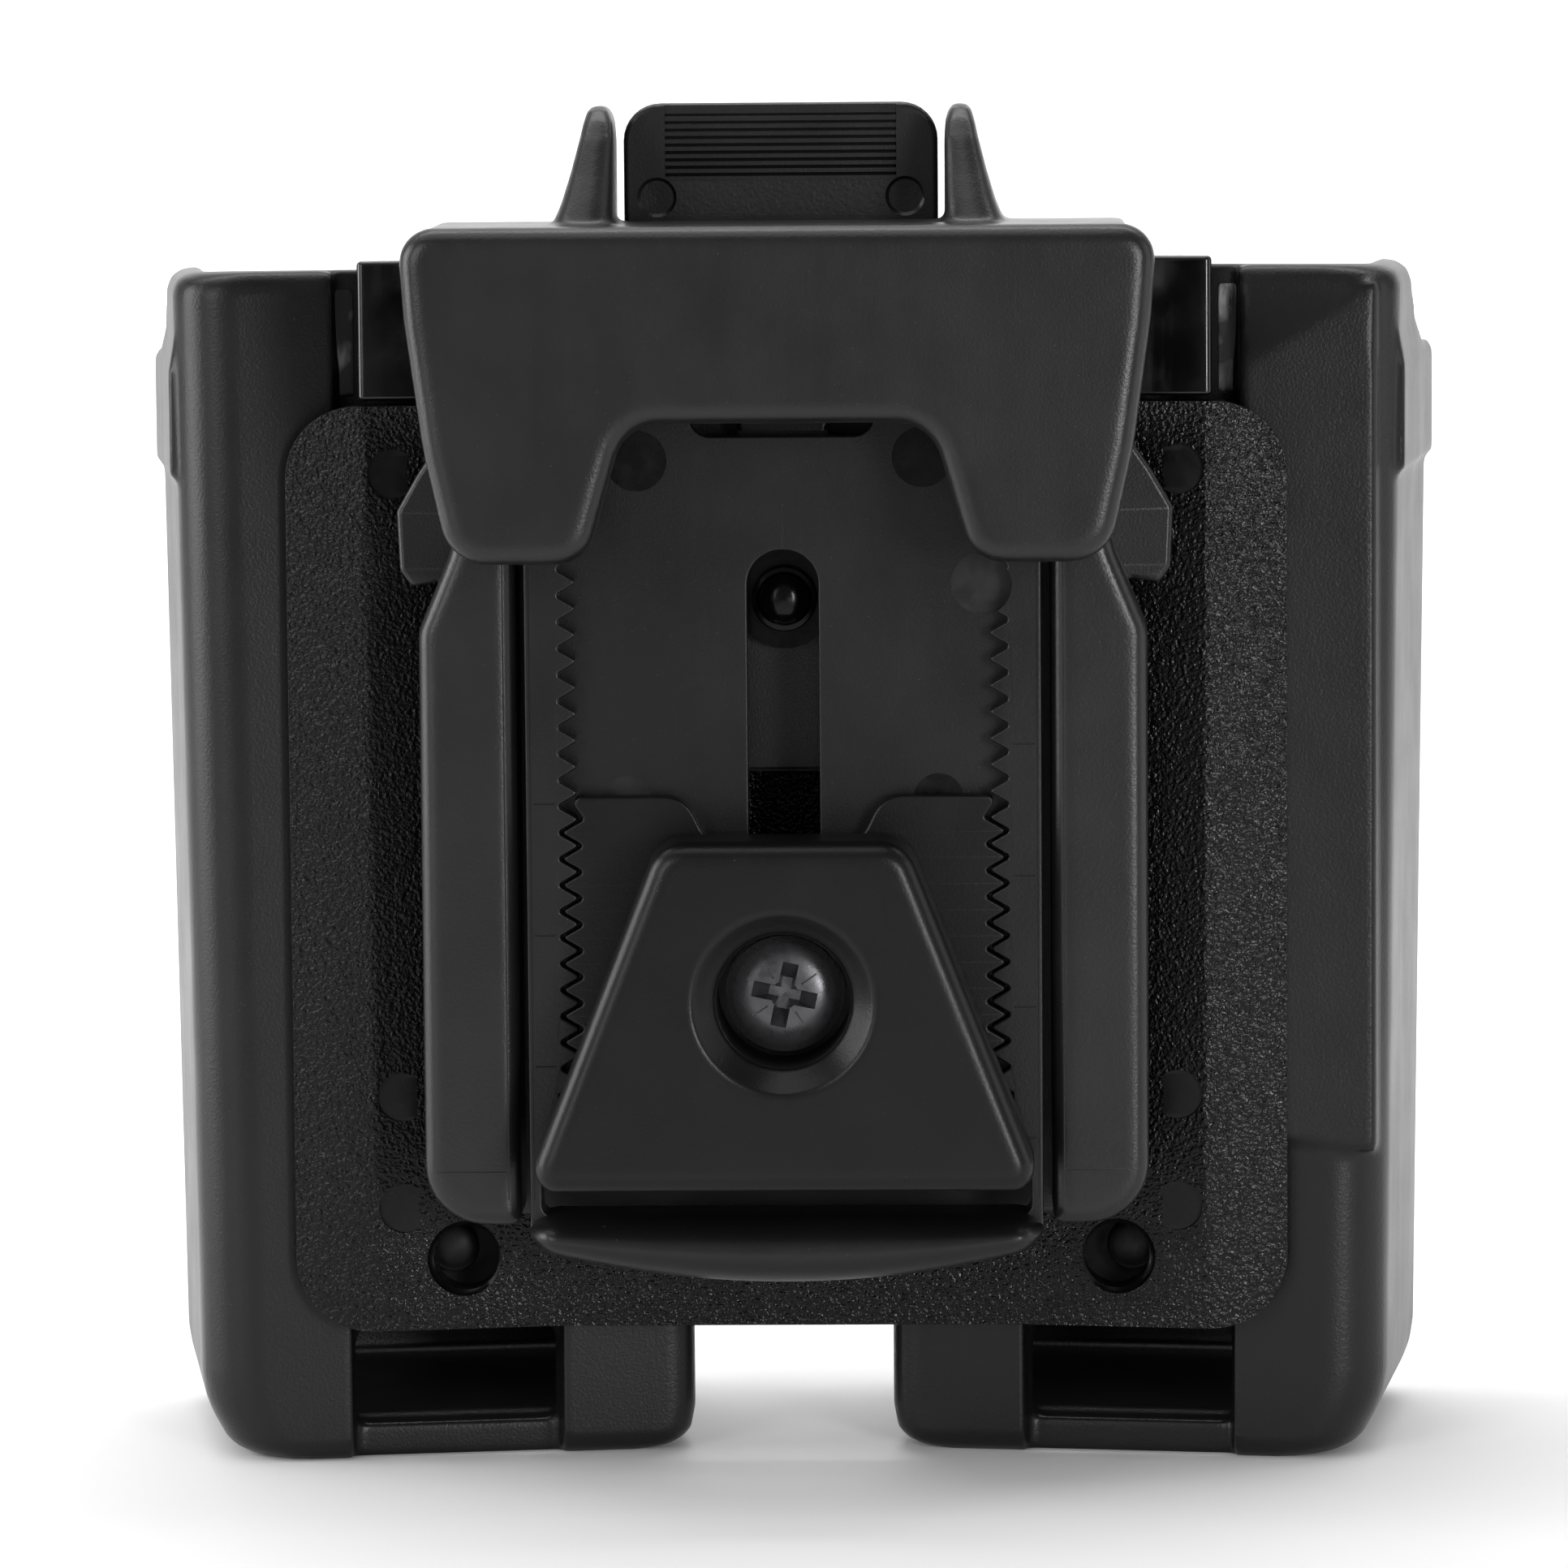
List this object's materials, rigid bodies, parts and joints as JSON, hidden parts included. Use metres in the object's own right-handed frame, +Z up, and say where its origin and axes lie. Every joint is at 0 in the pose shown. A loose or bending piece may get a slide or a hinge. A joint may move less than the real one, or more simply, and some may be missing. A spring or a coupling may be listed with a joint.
{
  "type": "belt-worn twin pouch holder",
  "caption": "Twin rigid open-topped pouches on a textured plate with a swivelling belt clip: hooked hood, sliding toothed jaw and thumb release.",
  "frame": {"origin": "middle of the footprint, level with the undersides of the pouches", "axes": "+Z up; -Y towards the wearer and the belt; +X to the right as the wearer's side is seen"},
  "size_m": [0.1016, 0.0604, 0.1058],
  "materials": {
    "pouch": "moulded black glass-filled nylon, fine matt grain with a satin sheen",
    "plate": "moulded black nylon with a coarse leather-like spark texture",
    "gloss": "smooth polished black with light rub marks",
    "clip": "moulded black, fine matt grain, soft worn edges",
    "tongue": "moulded black, fine matt grain",
    "fastener": "black oxide on steel, oiled",
    "spring": "blued spring steel"
  },
  "bodies": {
    "holder": {"left_pouch": "pouch", "right_pouch": "pouch", "carrier": "gloss", "base_plate": "plate", "plate_screw_lower_left": "fastener", "plate_screw_lower_right": "fastener", "plate_screw_upper_left": "fastener", "plate_screw_upper_right": "fastener", "detent_ring": "spring", "pivot_rivet": "fastener", "pivot_washer": "fastener", "wave_washer": "spring"},
    "left_leaf": {"left_retention_leaf": "spring"},
    "right_leaf": {"right_retention_leaf": "spring"},
    "clip": {"clip_frame": "clip", "back_plate": "clip", "back_screw_1": "fastener", "back_screw_2": "fastener", "back_screw_3": "fastener", "back_screw_4": "fastener", "lever_pin": "fastener", "lever_spring": "spring"},
    "lever": {"release_lever": "clip"},
    "spring_panel": {"tongue": "tongue"},
    "jaw_carriage": {"nut_plate": "spring"},
    "lower_jaw": {"jaw": "tongue", "jaw_washer": "fastener"},
    "clamp_screw": {"jaw_screw": "fastener"}
  },
  "joints": [
    {"name": "clip_swivel", "type": "hinge", "parent": "holder", "child": "clip", "pos_m": [0, -0.0097, 0.0681], "axis": [0, 1, 0], "continuous": true},
    {"name": "lever_press", "type": "hinge", "parent": "clip", "child": "lever", "pos_m": [0, -0.0127, 0.087], "axis": [1, 0, 0], "range_deg": [-9, 0], "stiffness_Nm_per_rad": 0.6, "springref_deg": 2.86},
    {"name": "panel_flex", "type": "hinge", "parent": "clip", "child": "spring_panel", "pos_m": [0, -0.017, 0.089], "axis": [1, 0, 0], "range_deg": [0, 4.5], "stiffness_Nm_per_rad": 12},
    {"name": "jaw_adjust", "type": "slide", "parent": "spring_panel", "child": "jaw_carriage", "axis": [0, 0, 1], "range_m": [0, 0.012]},
    {"name": "jaw_lift", "type": "slide", "parent": "jaw_carriage", "child": "lower_jaw", "axis": [0, -1, 0], "range_m": [0, 0.0024]},
    {"name": "screw_turn", "type": "hinge", "parent": "lower_jaw", "child": "clamp_screw", "pos_m": [0, -0.02, 0.0389], "axis": [0, -1, 0], "range_deg": [0, 1080]},
    {"name": "left_leaf_flex", "type": "hinge", "parent": "holder", "child": "left_leaf", "pos_m": [-0.02639, -0.00258, 0.066], "axis": [0.989, 0.1478, 0], "range_deg": [-1.5, 0], "stiffness_Nm_per_rad": 4, "springref_deg": 0.29},
    {"name": "right_leaf_flex", "type": "hinge", "parent": "holder", "child": "right_leaf", "pos_m": [0.02639, -0.00258, 0.066], "axis": [0.989, -0.1478, 0], "range_deg": [-1.5, 0], "stiffness_Nm_per_rad": 4, "springref_deg": 0.29}
  ],
  "couplings": [
    {"joint": "screw_turn", "follows": "jaw_lift", "rad_per_m": 7854}
  ]
}
